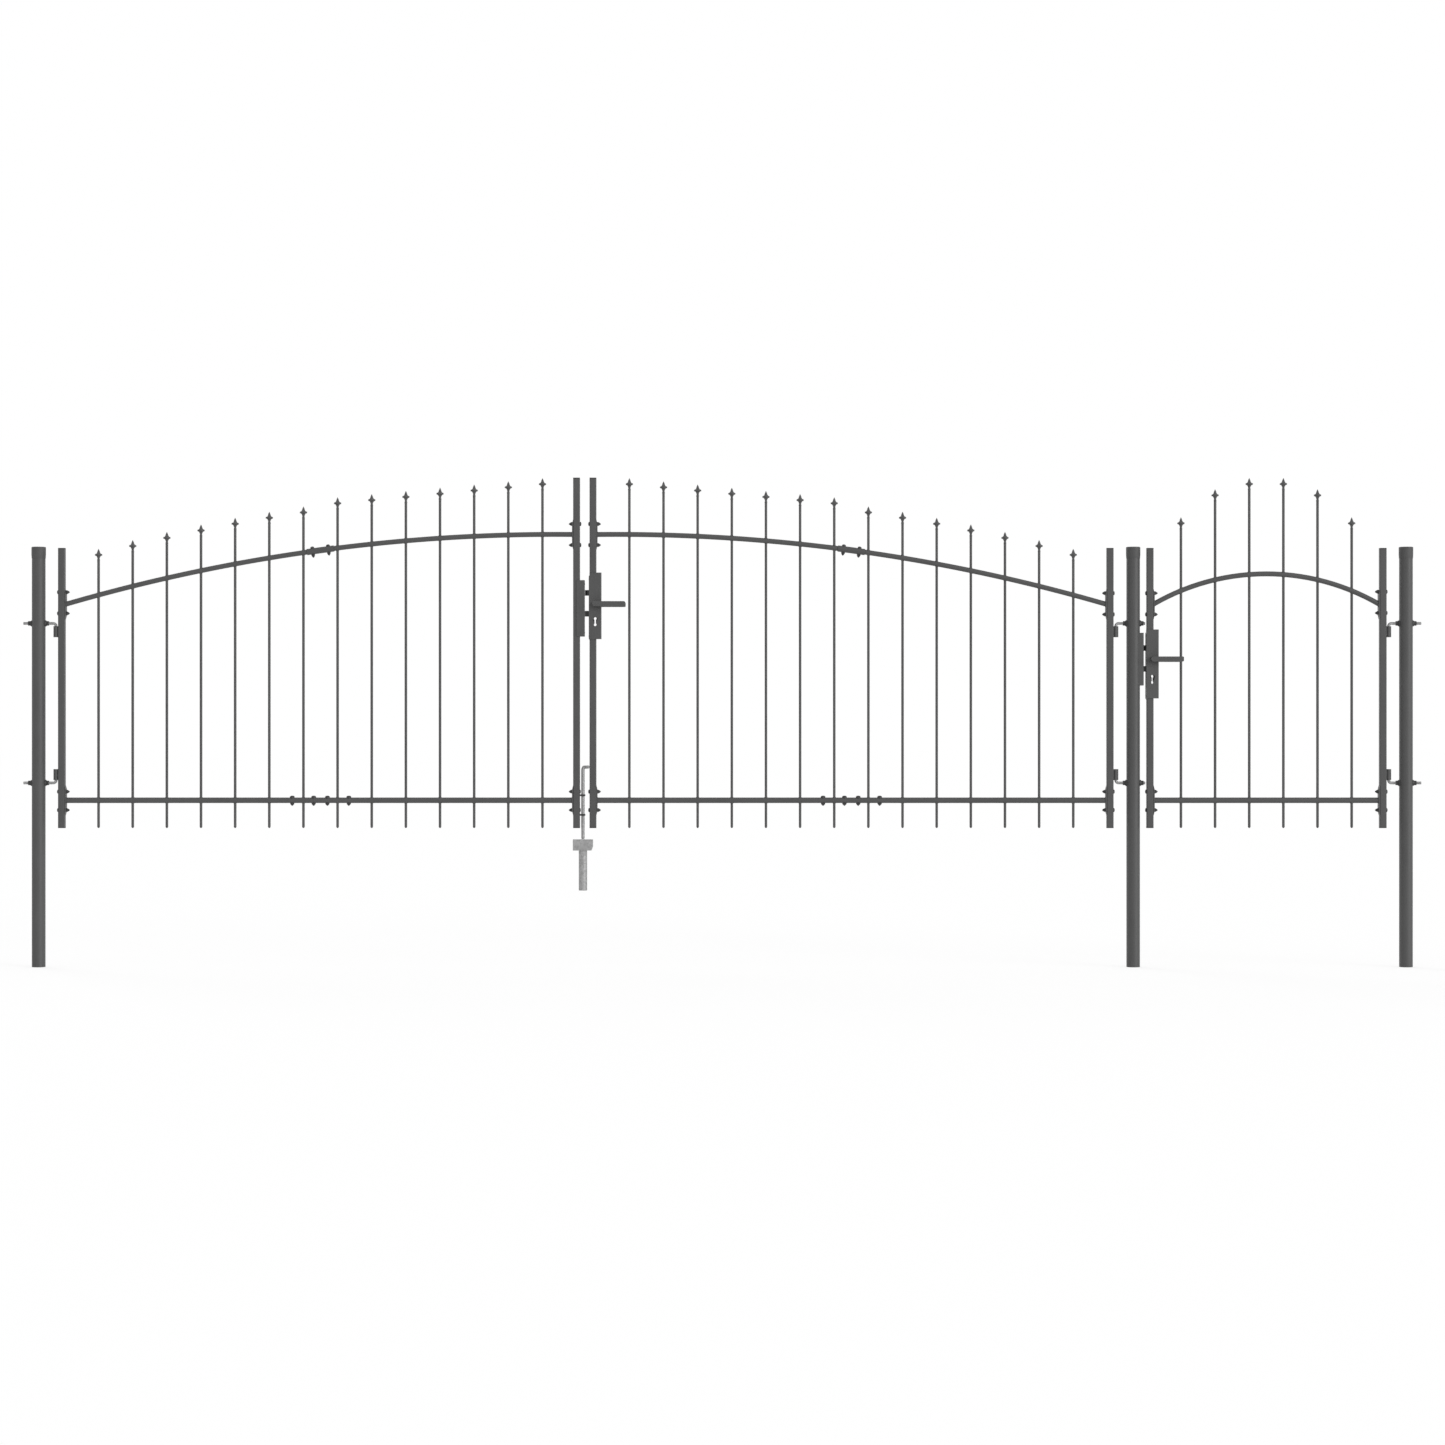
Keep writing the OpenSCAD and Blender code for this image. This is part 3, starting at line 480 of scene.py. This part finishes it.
def end_welds(bm, leaf):
    """Beads where the bottom rail and the arch meet the end plates."""
    inset = HALF_STILE + PLATE_T + END_BEAD_OFF
    for x in (inset, leaf.width - inset):
        stretch = math.hypot(1, leaf.slope(x))
        for z, radius, tall in ((RAIL_Z, RAIL_R, 1.0), (leaf.arch_z(x), ARCH_R, stretch)):
            ring = [leaf.at(x, radius * math.sin(a), z + radius * math.cos(a) * tall) for a in BEAD_TURN]
            bead(bm, ring, END_BEAD_R, True)


def barrel_welds(bm, leaf):
    """Beads along the hinge barrels, on the stile that carries them."""
    hinge_x, outward = (leaf.width, 1) if leaf is SIDE else (0, -1)
    x = hinge_x + outward * (HALF_STILE + BARREL_BEAD_OFF)
    step = (BARREL_LENGTH - 2 * BARREL_BEAD_END) / BEAD_STOPS
    for low in (UPPER_HOOK_Z - BARREL_SEAT - BARREL_LENGTH, LOWER_HOOK_Z + BARREL_SEAT):
        for y in (-BARREL_BEAD_Y, BARREL_BEAD_Y):
            line = [leaf.at(x, y, low + BARREL_BEAD_END + i * step) for i in range(BEAD_STOPS + 1)]
            bead(bm, line, BARREL_BEAD_R, False)


def leaf_welds(leaf):
    """All weld beads of a leaf."""
    def build(bm):
        picket_welds(bm, leaf)
        end_welds(bm, leaf)
        barrel_welds(bm, leaf)
    add_piece(leaf.body + "_welds", leaf.body, "coated_steel", build)


# Threads on the hinge hooks

# How far a thread starts inside its nut, and ends before the hook's bend
THREAD_LAP = 1.0


def hook_threads():
    """Threads on the straight part of each hinge hook, on both sides of the post."""
    start, to_bend = NUT_REACH - THREAD_LAP, HOOK_AXIS - HOOK_BEND - NUT_REACH - THREAD_LAP

    def build(bm):
        for post_x, way, tail in HOOKS:
            for z in (UPPER_HOOK_Z, LOWER_HOOK_Z):
                place = Vector((post_x, 0, z))
                out = Vector((way, 0, 0))
                thread(bm, place + out * start, out, to_bend, HOOK_R)
                thread(bm, place - out * start, -out, tail - NUT_REACH, HOOK_R)
    add_piece("hinge_hook_threads", "posts", "zinc_steel", build)


# Lock works: the dark block inside each lock case, pierced behind the keyhole

# Each block's piece, body and the x and z of its keyway's middle
LOCK_WORKS = (
    ("driveway_lock_works", "right_leaf", -1922.0, 1233.0),
    ("side_lock_works", "side_gate", 67.7, 1027.0),
)
# The block's edges from the keyway's middle
WORKS_HALF_DEPTH = 12.0
WORKS_LEFT, WORKS_RIGHT = -14.0, 19.0
WORKS_OVER, WORKS_UNDER = 18.0, 25.0
# The keyway's lobes, their distance from its middle, its half width between them, and its stops
KEYWAY_R, KEYWAY_REACH, KEYWAY_WAIST = 5.2, 11.0, 2.8
KEYWAY_STOPS = 16
# Distance, in metres, under which two points of the block are one
WORKS_MERGE = 1e-6


def keyway_half_width(up):
    """Half width of the keyway, two round lobes and a waist, at a height over its middle."""
    from_lobe = abs(up) - KEYWAY_REACH
    lobe = math.sqrt(max(0.0, KEYWAY_R ** 2 - from_lobe ** 2))
    return max(lobe, KEYWAY_WAIST) if from_lobe < 0 else lobe


def lock_works(name, body, x, z):
    """A block round a keyway whose middle is at x, z."""
    def build(bm):
        end = KEYWAY_REACH + KEYWAY_R
        angles = [math.pi / 2 * i / KEYWAY_STOPS for i in range(-KEYWAY_STOPS, KEYWAY_STOPS + 1)]
        ups = [-WORKS_UNDER] + [end * math.sin(a) for a in angles] + [WORKS_OVER]
        for side, edge in ((-1, WORKS_LEFT), (1, WORKS_RIGHT)):
            for low, high in zip(ups, ups[1:]):
                corners = [(edge, low), (side * keyway_half_width(low), low),
                           (side * keyway_half_width(high), high), (edge, high)]
                spots = [Vector((x + u, -WORKS_HALF_DEPTH, z + v)) for u, v in corners]
                bm.faces.new([bm.verts.new(spot * MM) for spot in spots])
        bmesh.ops.remove_doubles(bm, verts=bm.verts, dist=WORKS_MERGE)
        back = bmesh.ops.extrude_face_region(bm, geom=bm.faces[:])
        moved = [item for item in back["geom"] if isinstance(item, bmesh.types.BMVert)]
        bmesh.ops.translate(bm, verts=moved, vec=(0, 2 * WORKS_HALF_DEPTH * MM, 0))
    add_piece(name, body, "black_steel", build)


# Stage

# Floor: its width and its height, just under the posts' feet, in metres, and its grey
FLOOR_SIZE, FLOOR_Z, FLOOR_GREY = 160, -0.001, 0.95
# The white that is mixed in where the floor is seen directly: its strength and its share
FLOOR_GLOW, FLOOR_GLOW_SHARE = 1.035, 0.7
# The studio's even light
WORLD_GREY = 0.72
# Lamps: name, the side that they shine from, width in degrees and strength
LAMPS = (("key", (7.0, -6.0, 2.2), 30, 1.5), ("back", (-5.0, 6.0, 4.0), 30, 0.9))
# The photograph's frame: its size and the middle post's foot, in pixels, and its scale
PHOTO_SIZE = 1445
FOOT_PIXEL = (1133.15, 966.8)
MM_PER_PIXEL = 3.573
# Camera: distance and far limit in metres, sensor in millimetres
CAMERA_DISTANCE, CAMERA_END, SENSOR_WIDTH = 11.0, 400, 36


def seen_directly(tree, share):
    """share for camera, glossy and transmission rays, else 0."""
    path = tree.nodes.new("ShaderNodeLightPath")
    total = path.outputs["Is Camera Ray"]
    for name in ("Is Glossy Ray", "Is Transmission Ray"):
        top = tree.nodes.new("ShaderNodeMath")
        top.operation = "MAXIMUM"
        tree.links.new(total, top.inputs[0])
        tree.links.new(path.outputs[name], top.inputs[1])
        total = top.outputs["Value"]
    scaled = tree.nodes.new("ShaderNodeMath")
    scaled.operation = "MULTIPLY"
    scaled.inputs[1].default_value = share
    tree.links.new(total, scaled.inputs[0])
    return scaled.outputs["Value"]


def add_seen_mix(tree, share, lit, seen, output):
    """Puts lit on output, with a share of seen mixed in where it is seen directly."""
    mix = tree.nodes.new("ShaderNodeMixShader")
    tree.links.new(seen_directly(tree, share), mix.inputs["Fac"])
    tree.links.new(lit, mix.inputs[1])
    tree.links.new(seen, mix.inputs[2])
    tree.links.new(mix.outputs["Shader"], tree.nodes[output].inputs["Surface"])


def build_floor():
    """A wide pale floor that reads as white but keeps the object's soft shadow."""
    bpy.ops.mesh.primitive_plane_add(size=FLOOR_SIZE, location=(0, 0, FLOOR_Z))
    floor = bpy.context.object
    floor.name = "floor"
    material, tree, shader = new_material("floor")
    shader.inputs["Base Color"].default_value = grey(FLOOR_GREY)
    shader.inputs["Roughness"].default_value = 1.0
    shader.inputs["Specular IOR Level"].default_value = 0.0
    glow = tree.nodes.new("ShaderNodeEmission")
    glow.inputs["Strength"].default_value = FLOOR_GLOW
    add_seen_mix(tree, FLOOR_GLOW_SHARE, shader.outputs["BSDF"], glow.outputs["Emission"], "Material Output")
    floor.data.materials.append(material)


def build_world():
    """White to the camera and in reflections, a soft even studio light for the rest."""
    world = bpy.data.worlds.new("studio")
    bpy.context.scene.world = world
    world.use_nodes = True
    tree = world.node_tree
    soft = tree.nodes["Background"]
    soft.inputs["Color"].default_value = grey(WORLD_GREY)
    white = tree.nodes.new("ShaderNodeBackground")
    white.inputs["Color"].default_value = grey(1.0)
    add_seen_mix(tree, 1.0, soft.outputs["Background"], white.outputs["Background"], "World Output")


def add_far_light(name, place, spread, strength):
    """A wide soft light far away towards place, so that it falls alike on the whole row."""
    data = bpy.data.lights.new(name, "SUN")
    data.angle = math.radians(spread)
    data.energy = strength
    light = bpy.data.objects.new(name, data)
    light.location = place
    light.rotation_euler = (-Vector(place)).to_track_quat("-Z", "Y").to_euler()
    bpy.context.collection.objects.link(light)


def build_camera():
    """A long lens square to the gate, as the photograph was framed."""
    centre = PHOTO_SIZE / 2
    x = (centre - FOOT_PIXEL[0]) * MM_PER_PIXEL * MM
    z = (FOOT_PIXEL[1] - centre) * MM_PER_PIXEL * MM
    data = bpy.data.cameras.new("camera")
    data.sensor_width = SENSOR_WIDTH
    data.lens = SENSOR_WIDTH * CAMERA_DISTANCE / (PHOTO_SIZE * MM_PER_PIXEL * MM)
    data.clip_end = CAMERA_END
    camera = bpy.data.objects.new("camera", data)
    camera.location = (x, -CAMERA_DISTANCE, z)
    camera.rotation_euler = (math.radians(90), 0, 0)
    bpy.context.collection.objects.link(camera)
    bpy.context.scene.camera = camera


finish_nodes()
leaf_bolts(LEFT, LEFT_HINGE_BOLTS, MEETING_BOLTS)
leaf_bolts(RIGHT, RIGHT_HINGE_BOLTS, MEETING_BOLTS)
leaf_bolts(SIDE, SIDE_LOCK_BOLTS, SIDE_HINGE_BOLTS)
for gate in (LEFT, RIGHT, SIDE):
    leaf_welds(gate)
hook_threads()
for screws in PLATE_SCREWS:
    plate_screws(*screws)
for works in LOCK_WORKS:
    lock_works(*works)

build_floor()
build_world()
for lamp in LAMPS:
    add_far_light(*lamp)
build_camera()
bpy.context.scene.view_settings.view_transform = "Standard"
